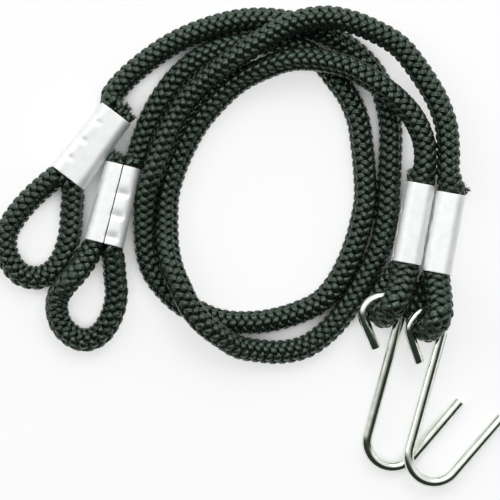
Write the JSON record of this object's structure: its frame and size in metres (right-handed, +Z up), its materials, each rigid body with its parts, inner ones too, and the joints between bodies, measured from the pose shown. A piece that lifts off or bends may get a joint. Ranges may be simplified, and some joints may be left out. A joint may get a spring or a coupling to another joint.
{
  "type": "hooked elastic tie-down cords",
  "caption": "Braided elastic tie-down cords laid together in a loose coil, with a crimped loop eye at one end of each cord and a bent wire hook that swings at the other.",
  "frame": {"origin": "on the table, at the middle of the part's width and depth", "axes": "+X to the right of the picture, +Y to its top, +Z up from the table"},
  "size_m": [0.189, 0.1775, 0.0214],
  "materials": {
    "braid": "black braided polyester with a slight sheen",
    "rubber": "matte, cut across",
    "aluminium": "bright rolled strip, pressed",
    "zinc": "bright zinc-plated drawn wire"
  },
  "bodies": {
    "cords": {"cord_a_sheath": "braid", "cord_a_core": "rubber", "cord_b_sheath": "braid", "cord_b_core": "rubber", "ferrule_loop_a": "aluminium", "ferrule_loop_b": "aluminium", "ferrule_hook_a": "aluminium", "ferrule_hook_b": "aluminium"},
    "hook_a": {"hook_a": "zinc"},
    "hook_b": {"hook_b": "zinc"}
  },
  "joints": [
    {"name": "hook_a_swing", "type": "hinge", "parent": "cords", "child": "hook_a", "pos_m": [0.0487, -0.0248, 0.01006], "axis": [0, 0, 1], "range_deg": [-40, 0]},
    {"name": "hook_b_lift", "type": "hinge", "parent": "cords", "child": "hook_b", "pos_m": [0.06778, -0.02392, 0.00988], "axis": [-0.8545, 0.3911, 0.342], "range_deg": [0, 45]}
  ]
}
